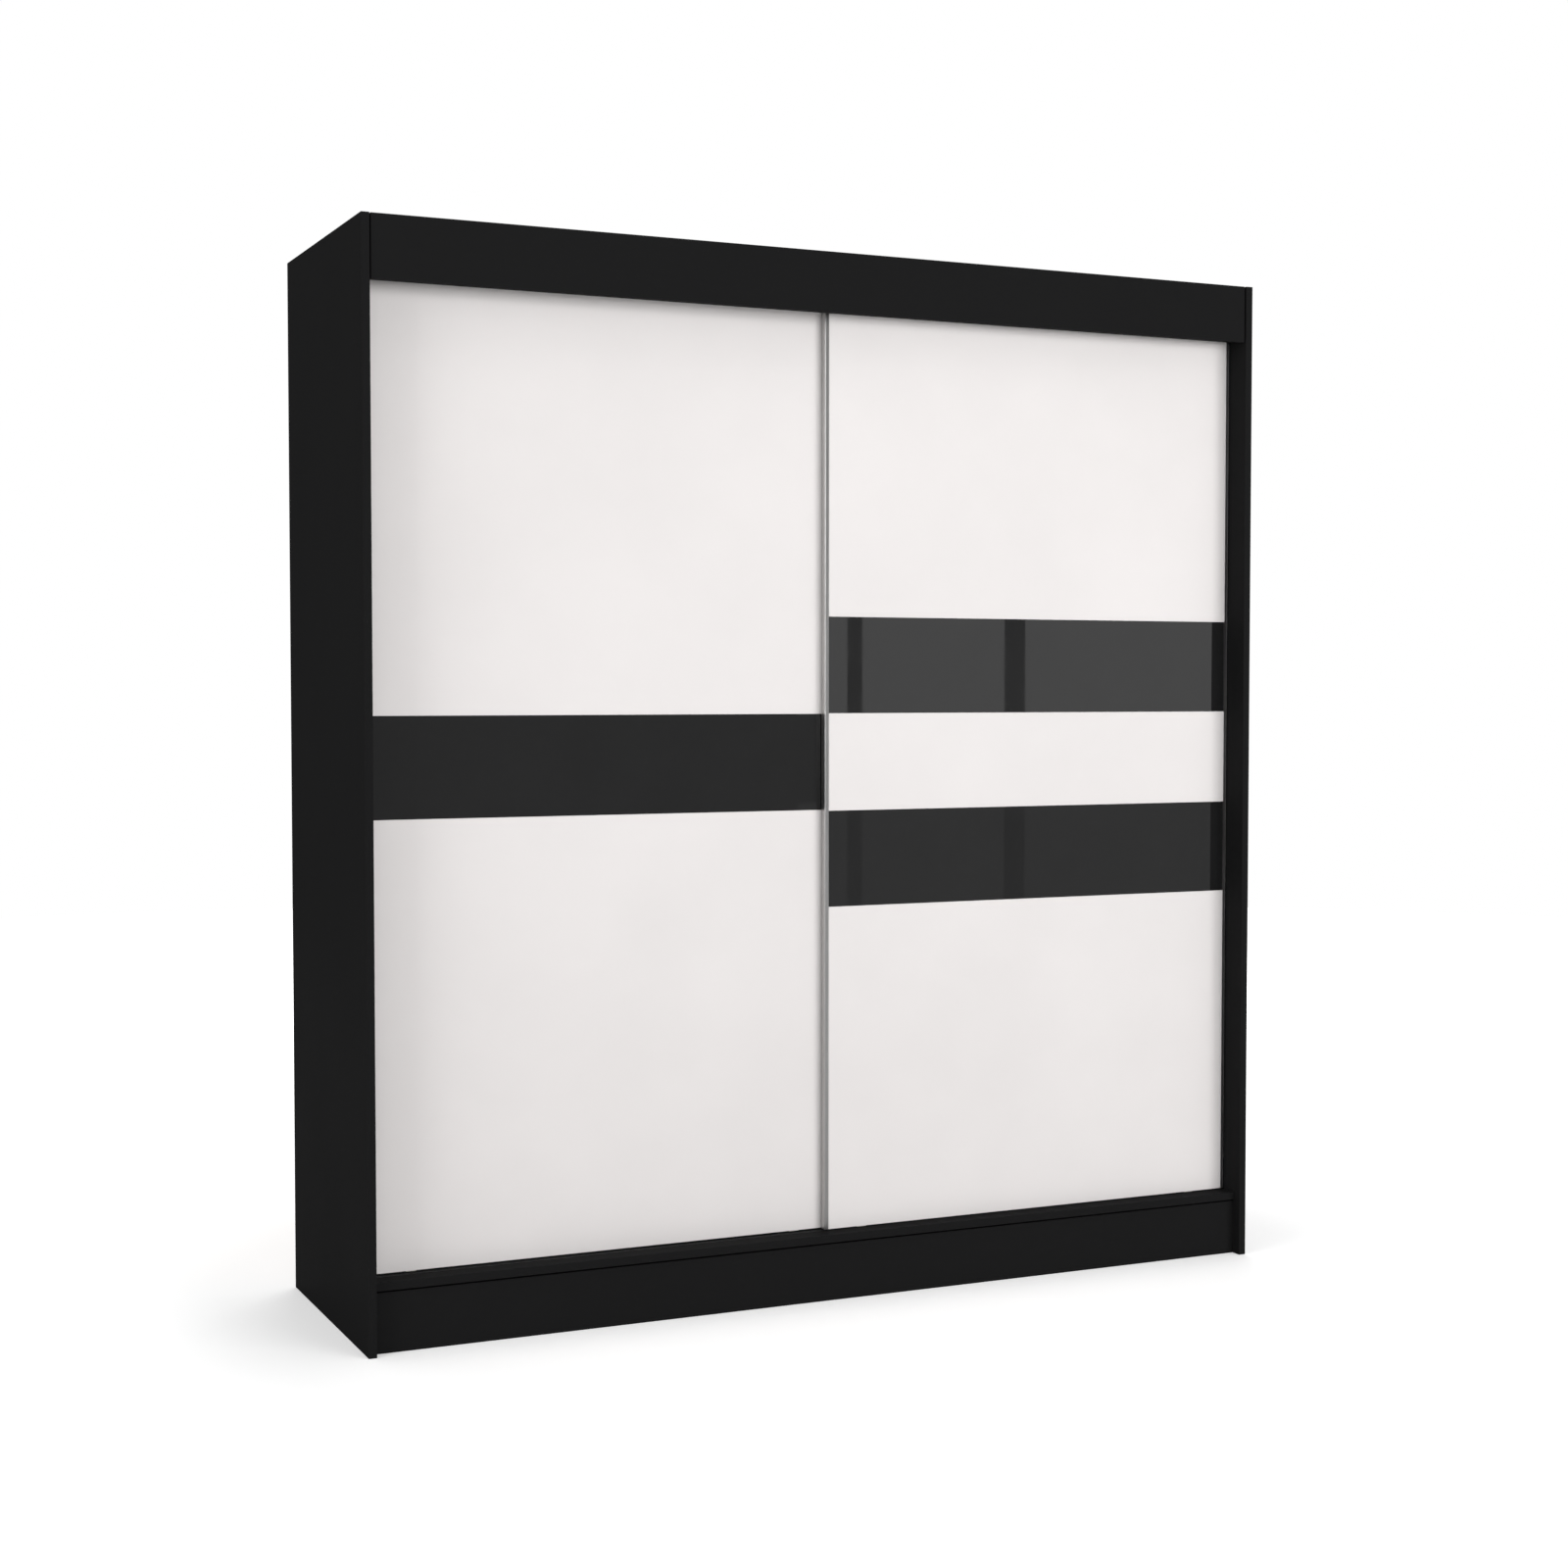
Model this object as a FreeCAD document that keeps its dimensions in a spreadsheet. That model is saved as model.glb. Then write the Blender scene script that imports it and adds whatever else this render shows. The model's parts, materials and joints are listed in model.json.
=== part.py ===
import FreeCAD, Part
import os
import re

import Sketcher

# A free-standing wardrobe with two sliding doors. Millimetres, +Z up, +X to the right
# as one faces it, the doors towards -Y. The origin is on the floor, at the middle of
# the overall box.

doc = FreeCAD.newDocument("SlidingDoorWardrobe")

# ---------------------------------------------------------------- driving dimensions

SIZES = {
    # overall
    "width": 2000,
    "depth": 600,
    "height": 2150,
    "board": 16,
    "back_board": 3,
    "back_inset": 4,
    "hole_fit": 0.1,
    # header, bottom board and plinth
    "header_height": 122,
    "header_recess": 2.5,
    "header_gap": 3,
    "floor_top": 137.5,
    "floor_setback": 20,
    "plinth_height": 117,
    "plinth_setback": 25,
    "rear_plinth_inset": 20,
    # doors
    "door_setback": 60,
    "door_gap": 1.8,
    "door_overlap": 32,
    "door_end_gap": 1,
    "door_floor_gap": 2.5,
    "door_ceiling_gap": 29,
    "profile_wall": 1,
    "profile_lip": 8.5,
    "profile_fit": 0.1,
    "profile_radius": 1.8,
    "groove_inset": 2.4,
    "groove_width": 0.9,
    "groove_depth": 0.3,
    # glass strips, flush with the face of the door boards
    "glass_sheet": 4,
    "tape_sheet": 0.5,
    "tape_width": 20,
    "strip_height": 199,
    "strip_middle": 1114,
    "strip_step": 200.6,
    "strip_gap": 0.3,
    # running gear
    "channel_depth": 7,
    "channel_wall": 1,
    "wheel_radius": 12,
    "wheel_width": 5,
    "wheel_lift": 0.3,
    "wheel_side_gap": 0.5,
    "wheel_end_gap": 3,
    "wheel_top_gap": 1.5,
    "wheel_rim": 2.5,
    "wheel_recess": 0.8,
    "wheel_chamfer": 0.6,
    "axle_radius": 2,
    "axle_fit": 0.05,
    "roller_inset": 90,
    "housing_end": 13,
    "housing_wall": 3.2,
    "mortise_wall": 2.5,
    "flange_ear": 14,
    "ear_screw_inset": 6,
    "flange_sheet": 2,
    "adjuster_radius": 3.5,
    "adjuster_socket": 2.2,
    "adjuster_socket_depth": 3,
    "track_height": 18,
    "track_wall": 1.5,
    "guide_inset": 80,
    "guide_length": 40,
    "guide_fit": 0.4,
    "guide_reach": 6,
    "guide_plug": 20,
    "guide_radius": 4,
    "stop_length": 25,
    "stop_gap": 0.5,
    "stop_clearance": 1,
    "seal_width": 5,
    "seal_clearance": 0.3,
    "seal_inset": 1.5,
    # inside
    "divider_gap": 9.8,
    "shelf_setback": 5,
    "shelf_gap": 1,
    "pin_radius": 2.5,
    "pin_depth": 7,
    "pin_reach": 8,
    "pin_inset": 60,
    "pin_step": 32,
    "rail_radius": 12.5,
    "rail_wall": 1.2,
    "rail_drop": 60,
    "rail_fit": 0.2,
    "cup_radius": 24,
    "cup_sheet": 3,
    "cup_depth": 14,
    "cup_wall": 3,
    # fastenings
    "front_fixing_inset": 45,
    "back_fixing_inset": 60,
    "cut_past": 1,
    "socket_depth": 1.5,
    "dowel_step": 40,
    "dowel_radius": 4,
    "dowel_length": 30,
    "dowel_bite": 11,
    "cam_radius": 7.5,
    "cam_depth": 12.5,
    "cam_distance": 34,
    "bolt_radius": 3.5,
    "bolt_neck": 2.5,
    "bolt_grip": 11,
    "bolt_cap": 3,
    "bracket_leg": 26,
    "bracket_sheet": 2,
    "bracket_length": 40,
    "bracket_screw_line": 16,
    "track_screw_proud": 1,
}

# Radii of the head, shank and hexagonal socket, the rise of the head and the whole length.
FASTENERS = {
    "confirmat": {"head": 5, "rise": 3, "shank": 3.3, "reach": 50, "socket": 2.2},
    "cup_screw": {"head": 3.2, "rise": 2, "shank": 1.6, "reach": 14, "socket": 1.3},
    "angle_screw": {"head": 3.2, "rise": 2, "shank": 1.5, "reach": 13, "socket": 1.3},
    "track_screw": {"head": 3.2, "rise": 1.5, "shank": 1.5, "reach": 13, "socket": 1.3},
    "roller_screw": {"head": 3, "rise": 1.8, "shank": 1.5, "reach": 24, "socket": 1.3},
    "nail": {"head": 1.8, "rise": 0.8, "shank": 0.7, "reach": 16},
}
for kind, measures in FASTENERS.items():
    for measure, value in measures.items():
        SIZES[f"{kind}_{measure}"] = value

PLACES = {
    "inner": "width / 2 - board",
    "front": "-depth / 2",
    "carcass_back": "depth / 2 - back_board",
    "ceiling": "height - board",
    "floor_low": "floor_top - board",
    "header_back": "front + header_recess + board",
    "plinth_back": "front + plinth_setback + board",
    "rear_plinth_face": "carcass_back - rear_plinth_inset - board",
    "skin": "profile_wall + profile_fit",
    "door_thick": "board + 2 * skin",
    "door_pitch": "door_thick + door_gap",
    "door_width": "inner + door_overlap / 2 - door_end_gap",
    "door_low": "floor_top + door_floor_gap",
    "door_high": "ceiling - door_ceiling_gap",
    "right_face": "front + door_setback",
    "left_face": "right_face + door_pitch",
    "right_start": "-door_overlap / 2",
    "left_start": "door_end_gap - inner",
    "right_line": "right_face + door_thick / 2",
    "left_line": "left_face + door_thick / 2",
    "strip_seat": "glass_sheet + tape_sheet",
    "slot_width": "wheel_width + 2 * wheel_side_gap",
    "slot_length": "2 * (wheel_radius + wheel_end_gap)",
    "channel_width": "slot_width + 2 * channel_wall",
    "rolling_floor": "floor_top - channel_depth + channel_wall",
    "axle_height": "rolling_floor + wheel_lift + wheel_radius",
    "wheel_room_top": "axle_height - door_low + wheel_radius + wheel_top_gap",
    "adjuster_height": "wheel_room_top + housing_wall + adjuster_radius",
    "housing_height": "adjuster_height + adjuster_radius + housing_wall",
    "housing_length": "slot_length + 2 * housing_end",
    "housing_width": "board - 2 * mortise_wall",
    "flange_length": "housing_length + 2 * flange_ear",
    "track_low": "ceiling - track_height",
    "track_roof": "ceiling - track_wall",
    "track_front": "right_line - (door_pitch + track_wall) / 2",
    "stop_face": "inner - door_end_gap - guide_inset + guide_length / 2 + stop_gap",
    "divider_front": "left_face + door_thick + divider_gap",
    "shelf_front": "divider_front + shelf_setback",
    "shelf_pitch": "(ceiling - floor_top + board) / 6",
    "hat_shelf_low": "floor_top + 5 * shelf_pitch - board",
    "rail_height": "hat_shelf_low - rail_drop",
    "rail_line": "(shelf_front + carcass_back) / 2",
    "pin_front": "shelf_front + pin_inset",
    "pin_back": "carcass_back - pin_inset",
    "fixing_front": "divider_front + front_fixing_inset",
    "fixing_back": "carcass_back - back_fixing_inset",
    "fixing_middle": "(fixing_front + fixing_back) / 2",
}


def fill(name, contents):
    """A sheet with one named cell a row."""
    sheet = doc.addObject("Spreadsheet::Sheet", name)
    for row, (alias, content) in enumerate(contents.items(), 1):
        sheet.set(f"A{row}", alias)
        sheet.set(f"B{row}", content)
        sheet.setAlias(f"B{row}", alias)
    doc.recompute()
    return sheet


def cells(rule):
    """A rule in plain names, with each name written as the cell that holds it."""

    def cell(match):
        word = match.group(0)
        if word in SIZES:
            return f"Sizes.{word}"
        return f"Places.{word}" if word in PLACES else word

    return re.sub(r"[a-z_]+", cell, str(rule))


def local(rule):
    """The same, for a cell of the places sheet itself."""
    return "=" + cells(rule).replace("Places.", "")


fill("Sizes", {alias: str(value) for alias, value in SIZES.items()})
fill("Places", {alias: local(rule) for alias, rule in PLACES.items()})

# ---------------------------------------------------------------- ways to make a piece

TURNS = {
    "+x": FreeCAD.Rotation(FreeCAD.Vector(0, 1, 0), 90),
    "-x": FreeCAD.Rotation(FreeCAD.Vector(0, 1, 0), -90),
    "+y": FreeCAD.Rotation(FreeCAD.Vector(1, 0, 0), -90),
    "-y": FreeCAD.Rotation(FreeCAD.Vector(1, 0, 0), 90),
    "+z": FreeCAD.Rotation(),
    "-z": FreeCAD.Rotation(FreeCAD.Vector(1, 0, 0), 180),
}

pieces = []


def bind(item, name, rule):
    item.setExpression(name, cells(rule))


def put(item, where):
    """Ties the item's place to three rules."""
    for axis, rule in zip("xyz", where):
        bind(item, f"Placement.Base.{axis}", rule)
    return item


def box(name, x, y, z):
    """A block between a low and a high rule on each axis."""
    item = doc.addObject("Part::Box", name)
    for side, (low, high) in zip(("Length", "Width", "Height"), (x, y, z)):
        bind(item, side, f"({high}) - ({low})")
    return put(item, [low for low, high in (x, y, z)])


def rod(name, radius, length, where=(0, 0, 0), way="+z"):
    item = doc.addObject("Part::Cylinder", name)
    item.Placement = FreeCAD.Placement(FreeCAD.Vector(), TURNS[way])
    bind(item, "Radius", radius)
    bind(item, "Height", length)
    return put(item, where)


def cone(name, wide, narrow, length):
    item = doc.addObject("Part::Cone", name)
    bind(item, "Radius1", wide)
    bind(item, "Radius2", narrow)
    bind(item, "Height", length)
    return item


def join(name, *items):
    item = doc.addObject("Part::MultiFuse", name)
    item.Shapes = list(items)
    return item


def together(name, items):
    item = doc.addObject("Part::Compound", name)
    item.Links = list(items)
    return item


def less(name, base, *tools):
    """The base with every tool cut away."""
    item = doc.addObject("Part::Cut", name)
    item.Base = base
    item.Tool = tools[0] if len(tools) == 1 else together(name + "_cuts", tools)
    return item


def copies(name, pattern, spots):
    """The pattern, which points along +Z from the origin, set at each spot."""
    items = []
    for number, (way, *where) in enumerate(spots):
        item = together(f"{name}_{number}", [pattern])
        item.Placement = FreeCAD.Placement(FreeCAD.Vector(), TURNS[way])
        items.append(put(item, where))
    return together(name, items)


def plane_sketch(body, role, points, height="0"):
    """A closed outline on one of the body's origin planes, every corner tied to rules."""
    sketch = body.newObject("Sketcher::SketchObject", f"{body.Name}_outline")
    plane = [item for item in body.Origin.OriginFeatures if item.Role == role][0]
    sketch.AttachmentSupport = [(plane, "")]
    sketch.MapMode = "FlatFace"
    bind(sketch, "AttachmentOffset.Base.z", height)
    values = [[sketch.evalExpression(cells(rule)) for rule in point] for point in points]
    corners = [FreeCAD.Vector(float(x), float(y), 0) for x, y in values]
    following = corners[1:] + corners[:1]
    for start, end in zip(corners, following):
        sketch.addGeometry(Part.LineSegment(start, end), False)
    count = len(corners)
    for number in range(count):
        link = Sketcher.Constraint("Coincident", number, 2, (number + 1) % count, 1)
        sketch.addConstraint(link)
    for number, (point, corner) in enumerate(zip(points, corners)):
        for axis, rule, value in zip("XY", point, (corner.x, corner.y)):
            tie = Sketcher.Constraint(f"Distance{axis}", number, 1, value)
            index = sketch.addConstraint(tie)
            sketch.renameConstraint(index, f"{axis}{number}")
            bind(sketch, f"Constraints.{axis}{number}", rule)
    return sketch


def extruded(name, role, points, low, high):
    """A body with the outline's section, from low to high along the plane's axis."""
    body = doc.addObject("PartDesign::Body", name)
    backwards = role == "XZ_Plane"
    sketch = plane_sketch(body, role, points, f"-({low})" if backwards else low)
    pad = body.newObject("PartDesign::Pad", f"{name}_pad")
    pad.Profile = sketch
    pad.Reversed = backwards
    bind(pad, "Length", f"({high}) - ({low})")
    doc.recompute()
    return body


def turned(name, points):
    """A body of revolution about the Y axis of its own frame; points are (radius, y)."""
    body = doc.addObject("PartDesign::Body", name)
    sketch = plane_sketch(body, "XY_Plane", points)
    turn = body.newObject("PartDesign::Revolution", f"{name}_turn")
    turn.Profile = sketch
    turn.ReferenceAxis = (sketch, ["V_Axis"])
    turn.Angle = 360
    doc.recompute()
    return body


def rounded(body, radius, chosen):
    """The body with its chosen edges rounded."""
    base = body.Tip
    names = [f"Edge{n}" for n, edge in enumerate(base.Shape.Edges, 1) if chosen(edge)]
    rounding = body.newObject("PartDesign::Fillet", f"{body.Name}_rounding")
    rounding.Base = (base, names)
    bind(rounding, "Radius", radius)
    return body


def piece(label, item):
    """Marks the item as one of the wardrobe's pieces."""
    item.Label = label
    pieces.append(item)
    return item


# ---------------------------------------------------------------- patterns of fastenings


def screw(name, kind, slack="0"):
    """A countersunk screw pointing along +Z, the face of its head at the origin."""
    head, shank = f"{kind}_head + {slack}", f"{kind}_shank + {slack}"
    top = cone(f"{name}_head", head, shank, f"{kind}_rise")
    return join(name, top, rod(f"{name}_stem", shank, f"{kind}_reach"))


def hexagon(name, radius, depth):
    """A hexagonal socket, as a prism rising from the origin."""
    socket = doc.addObject("Part::Prism", name)
    socket.Polygon = 6
    bind(socket, "Circumradius", radius)
    bind(socket, "Height", depth)
    return socket


def screws(label, kind, spots):
    """A group of equal screws, or of nails, which have no socket, and their holes."""
    pattern = screw(f"{label}_blank", kind)
    hole = screw(f"{label}_bore", kind, "hole_fit")
    if "socket" in FASTENERS[kind]:
        socket = hexagon(f"{label}_socket", f"{kind}_socket", "socket_depth")
        pattern = less(f"{label}_pattern", pattern, socket)
    return piece(label, copies(label, pattern, spots)), copies(f"{label}_holes", hole, spots)


def mirrored(spots):
    """The spots on the right and their twins on the left."""
    twins = [("-x" if way == "+x" else way, f"-({x})", y, z) for way, x, y, z in spots]
    return spots + twins


# Horizontal boards meet the side panels, and the plinths do so on end.
BOARD_JOINTS = [(y, z) for y in ("fixing_front", "fixing_back")
                for z in ("ceiling + board / 2", "floor_top - board / 2")]
PLINTH_LINES = ["plinth_back - board / 2", "rear_plinth_face + board / 2"]
BOLT_SPOTS = mirrored([("+x", "inner", y, z) for y, z in BOARD_JOINTS]
                      + [("+x", "inner", y, "plinth_height / 2") for y in PLINTH_LINES])


def make_dowels():
    """Glued beech dowels, the shorter end in a board's face and the longer in an end."""
    stay = "dowel_length - dowel_bite"
    ends = [("+x", f"inner - ({stay})", f"{y} {sign} dowel_step", z)
            for (y, z), sign in zip(BOARD_JOINTS, "++--")]
    feet = [("+x", f"inner - ({stay})", y, f"plinth_height * {part} / 10")
            for y in PLINTH_LINES for part in (2, 8)]
    posts = [("+z", "0", f"{y} {sign} dowel_step", z)
             for z in (f"ceiling - ({stay})", "floor_top - dowel_bite")
             for y, sign in (("fixing_front", "+"), ("fixing_back", "-"))]
    brace = [("+y", "0", y, "floor_low / 2")
             for y in ("plinth_back - dowel_bite", f"rear_plinth_face - ({stay})")]
    spots = mirrored(ends + feet) + posts + brace
    solid = rod("dowel_pattern", "dowel_radius", "dowel_length")
    hole = rod("dowel_bore", "dowel_radius + hole_fit", "dowel_length")
    return piece("dowels", copies("dowels", solid, spots)), copies("dowel_holes", hole, spots)


def make_bolts():
    """Cam bolts, screwed into the side panels and caught by the cam locks."""
    thread = rod("bolt_thread", "bolt_radius", "bolt_grip")
    neck = rod("bolt_shaft", "bolt_neck", "cam_distance", (0, 0, "-cam_distance"))
    head = rod("bolt_head", "bolt_radius", "bolt_cap", (0, 0, "-cam_distance"))
    pattern = join("bolt_pattern", thread, neck, head)
    hole = rod("bolt_bore", "bolt_radius + hole_fit", "cam_distance + bolt_grip + cut_past",
               (0, 0, "-cam_distance - cut_past"))
    bolts = piece("cam_bolts", copies("cam_bolts", pattern, BOLT_SPOTS))
    return bolts, copies("bolt_holes", hole, BOLT_SPOTS)


def make_cams(bolt_holes):
    """Cam locks, let into the boards from their hidden faces."""
    lows = {"ceiling + board / 2": "ceiling", "floor_top - board / 2": "floor_low"}
    spots = [("+z", "inner - cam_distance", y, lows[z]) for y, z in BOARD_JOINTS]
    inside = [("-y", "plinth_back"), ("+y", "rear_plinth_face")]
    spots += [(way, "inner - cam_distance", y, "plinth_height / 2") for way, y in inside]
    spots = mirrored(spots)
    solid = rod("cam_pattern", "cam_radius", "cam_depth")
    hole = rod("cam_bore", "cam_radius + hole_fit", "cam_depth + hole_fit")
    locks = less("cam_locks", copies("cam_blanks", solid, spots), bolt_holes)
    return piece("cam_locks", locks), copies("cam_holes", hole, spots)


dowels, dowel_holes = make_dowels()
bolts, bolt_holes = make_bolts()
cams, cam_holes = make_cams(bolt_holes)

POST_SPOTS = [(way, "0", y, z) for way, z in (("-z", "height"), ("+z", "floor_low"))
              for y in ("fixing_front", "fixing_back", "fixing_middle")]
post_screws, post_holes = screws("divider_screws", "confirmat", POST_SPOTS)
joinery = (dowel_holes, bolt_holes, cam_holes, post_holes)

# ---------------------------------------------------------------- shelves, pins and rail

BAYS = {"left": ("-inner", "-board / 2"), "right": ("board / 2", "inner")}
SHELVES = [("right", level) for level in range(1, 6)] + [("left", 5)]


def shelf_low(level):
    return f"floor_top + {level} * shelf_pitch - board"


def make_shelves():
    for side, level in SHELVES:
        low, high = BAYS[side]
        name = "hat_shelf_left" if side == "left" else f"shelf_right_{level}"
        piece(name, box(name, (f"{low} + shelf_gap", f"{high} - shelf_gap"),
                        ("shelf_front", "carcass_back"),
                        (shelf_low(level), f"{shelf_low(level)} + board")))


def make_pins():
    """Steel shelf pins under every shelf, with a spare hole above and below each."""
    spots = []
    for side, level in SHELVES:
        for way, wall in zip(("-x", "+x"), BAYS[side]):
            toward = f"{wall} + pin_reach" if way == "-x" else f"{wall} - pin_reach"
            for y in ("pin_front", "pin_back"):
                spots.append((way, toward, y, f"{shelf_low(level)} - pin_radius"))
    spare = [(way, x, y, f"{z} {step}")
             for way, x, y, z in spots for step in ("", "+ pin_step", "- pin_step")]
    solid = rod("pin_pattern", "pin_radius", "pin_depth + pin_reach")
    hole = rod("pin_bore", "pin_radius + hole_fit", "pin_depth + pin_reach + hole_fit")
    piece("shelf_pins", copies("shelf_pins", solid, spots))
    return copies("pin_holes", hole, spare)


def make_rail():
    """A round hanging rail between two screwed cups."""
    low, high = BAYS["left"]
    length = f"({high}) - ({low}) - 2 * cup_sheet"
    start = (f"{low} + cup_sheet", "rail_line", "rail_height")
    tube = rod("rail_blank", "rail_radius", length, start, "+x")
    core = rod("rail_core", "rail_radius - rail_wall", length, start, "+x")
    piece("hanging_rail", less("hanging_rail", tube, core))
    disc = rod("cup_disc", "cup_radius", "cup_sheet")
    collar = rod("cup_collar", "rail_radius + rail_fit + cup_wall", "cup_depth")
    seat = rod("cup_seat", "rail_radius + rail_fit", "cup_depth", (0, 0, "cup_sheet"))
    cup = less("cup_pattern", join("cup_blank", disc, collar), seat)
    ends = [("+x", low), ("-x", high)]
    cups = copies("cups", cup, [(way, x, "rail_line", "rail_height") for way, x in ends])
    side = "(cup_radius + rail_radius + rail_fit + cup_wall) / 2"
    spots = [("-x", f"{low} + cup_sheet", f"rail_line {sign} {side}", "rail_height")
             for sign in "+-"]
    spots += [("+x", f"{high} - cup_sheet", y, z) for way, x, y, z in spots]
    holes = screws("rail_screws", "cup_screw", spots)[1]
    piece("rail_cups", less("rail_cups", cups, holes))
    return holes


make_shelves()
pin_holes = make_pins()
rail_holes = make_rail()

# ---------------------------------------------------------------- carcass boards

BRACKET_SPOTS = ["-inner * 0.9", "-inner / 3", "inner / 3", "inner * 0.9"]


def make_nails():
    """Nails along the edges of both back panels, and their holes."""
    down = "floor_low + board / 2"
    up = "height - board / 2"
    edge = "width / 2 - board * 5 / 8"
    rows = 11
    steps = 5
    spots = []
    for x in (f"-({edge})", "-board / 4", "board / 4", edge):
        for row in range(rows + 1):
            spots.append(("-y", x, "depth / 2", f"{down} + ({up} - ({down})) * {row} / {rows}"))
    for sign in "-+":
        for step in range(1, steps):
            x = f"0 {sign} width / 2 * {step} / {steps}"
            spots += [("-y", x, "depth / 2", z) for z in (down, up)]
    return screws("back_nails", "nail", spots)[1]


def make_side_panels():
    for side, low, high in (("left", "-width / 2", "-inner"), ("right", "inner", "width / 2")):
        name = f"side_panel_{side}"
        blank = box(f"{name}_blank", (low, high), ("front", "carcass_back"), (0, "height"))
        piece(name, less(name, blank, *joinery, pin_holes, rail_holes))


def make_bottom_panel():
    """The floor board, with two grooves for the door channels."""
    span = ("-inner", "inner")
    blank = box("bottom_blank", span, ("front + floor_setback", "carcass_back"),
                ("floor_low", "floor_top"))
    half = "channel_width / 2 + hole_fit"
    grooves = [box(f"groove_{line}", span, (f"{line} - ({half})", f"{line} + {half}"),
                   ("floor_top - channel_depth", "floor_top"))
               for line in ("right_line", "left_line")]
    piece("bottom_panel", less("bottom_panel", blank, *grooves, *joinery))


def make_divider():
    blank = box("divider_blank", ("-board / 2", "board / 2"), ("divider_front", "carcass_back"),
                ("floor_top", "ceiling"))
    piece("center_divider", less("center_divider", blank, *joinery, pin_holes, rail_holes))


def make_back_panels():
    """Two hardboard sheets, nailed to the rear edges of the boards."""
    edge = "width / 2 - back_inset"
    tall = ("floor_low + back_inset / 2", "height - back_inset / 2")
    for side, low, high in (("left", f"-({edge})", "-hole_fit"), ("right", "hole_fit", edge)):
        name = f"back_panel_{side}"
        blank = box(f"{name}_blank", (low, high), ("carcass_back", "depth / 2"), tall)
        piece(name, less(name, blank, nail_holes))


def make_plinths():
    """Plinth boards at the front and back, and a brace between them under the divider."""
    span = ("-inner", "inner")
    front = box("plinth_front_blank", span, ("front + plinth_setback", "plinth_back"),
                (0, "plinth_height"))
    piece("plinth_front", less("plinth_front", front, *joinery))
    rear = box("plinth_rear_blank", span, ("rear_plinth_face", "rear_plinth_face + board"),
               (0, "floor_low"))
    piece("plinth_rear", less("plinth_rear", rear, *joinery))
    brace = box("brace_blank", ("-board / 2", "board / 2"), ("plinth_back", "rear_plinth_face"),
                (0, "floor_low"))
    piece("plinth_brace", less("plinth_brace", brace, *joinery))


def make_header():
    """The fascia that hides the top track, hung on the top panel by steel angles."""
    blank = box("header_blank", ("header_gap - inner", "inner - header_gap"),
                ("front + header_recess", "header_back"), ("height - header_height", "height"))
    leg = "bracket_leg"
    angle = [("header_back", "ceiling"), ("header_back", f"ceiling - {leg}"),
             ("header_back + bracket_sheet", f"ceiling - {leg}"),
             ("header_back + bracket_sheet", "ceiling - bracket_sheet"),
             (f"header_back + {leg}", "ceiling - bracket_sheet"),
             (f"header_back + {leg}", "ceiling")]
    angles = [extruded(f"angle_{number}", "YZ_Plane", angle, f"{x} - bracket_length / 2",
                       f"{x} + bracket_length / 2") for number, x in enumerate(BRACKET_SPOTS)]
    spots = []
    for x in BRACKET_SPOTS:
        for side in "-+":
            across = f"{x} {side} bracket_length / 4"
            spots.append(("-y", across, "header_back + bracket_sheet",
                          "ceiling - bracket_screw_line"))
            spots.append(("+z", across, "header_back + bracket_screw_line",
                          "ceiling - bracket_sheet"))
    holes = screws("header_screws", "angle_screw", spots)[1]
    piece("header_brackets", less("header_brackets", together("angles", angles), holes))
    piece("header_fascia", less("header_fascia", blank, holes))
    return holes


def make_top_panel(header_holes, track_holes):
    blank = box("top_blank", ("-inner", "inner"), ("header_back", "carcass_back"),
                ("ceiling", "height"))
    piece("top_panel", less("top_panel", blank, *joinery, header_holes, track_holes))


# ---------------------------------------------------------------- tracks


def make_channels():
    """A U channel for each door's wheels, let in flush with the floor board."""
    half = "channel_width / 2"
    inside = f"{half} - channel_wall"
    deep = "floor_top - channel_depth"
    for side in ("right", "left"):
        line = f"{side}_line"
        section = [(f"{line} - {half}", "floor_top"), (f"{line} - {half}", deep),
                   (f"{line} + {half}", deep), (f"{line} + {half}", "floor_top"),
                   (f"{line} + {inside}", "floor_top"), (f"{line} + {inside}", "rolling_floor"),
                   (f"{line} - ({inside})", "rolling_floor"),
                   (f"{line} - ({inside})", "floor_top")]
        name = f"bottom_channel_{side}_door"
        piece(name, extruded(name, "YZ_Plane", section, "-inner", "inner"))


def make_top_track():
    """A double channel, open downwards, that leads both doors' upper guides."""
    walls = [f"track_front + {number} * door_pitch" for number in range(3)]
    section = [("track_front", "ceiling")]
    for number, wall in enumerate(walls):
        if number:
            section.append((wall, "track_roof"))
        section += [(wall, "track_low"), (f"{wall} + track_wall", "track_low")]
        if number < 2:
            section.append((f"{wall} + track_wall", "track_roof"))
    section.append((f"{walls[2]} + track_wall", "ceiling"))
    blank = extruded("track_blank", "YZ_Plane", section, "-inner", "inner")
    steps = 6
    spots = [("+z", f"inner * ({number * 2 + 1} / {steps} - 1)", line,
              "track_roof - track_screw_proud")
             for number in range(steps) for line in ("right_line", "left_line")]
    holes = screws("track_screws", "track_screw", spots)[1]
    piece("top_track", less("top_track", blank, holes))
    return holes


def make_stops():
    """Rubber-faced blocks that end each door's travel, one at each end of each channel."""
    half = "(door_pitch - track_wall) / 2 - guide_fit"
    blocks = []
    for line in ("right_line", "left_line"):
        for way, low, high in (("right", "stop_face", "stop_face + stop_length"),
                               ("left", "-stop_face - stop_length", "-stop_face")):
            blocks.append(box(f"stop_{line}_{way}", (low, high),
                              (f"{line} - ({half})", f"{line} + {half}"),
                              ("track_low + stop_clearance", "track_roof")))
    piece("track_stops", together("track_stops", blocks))


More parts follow.
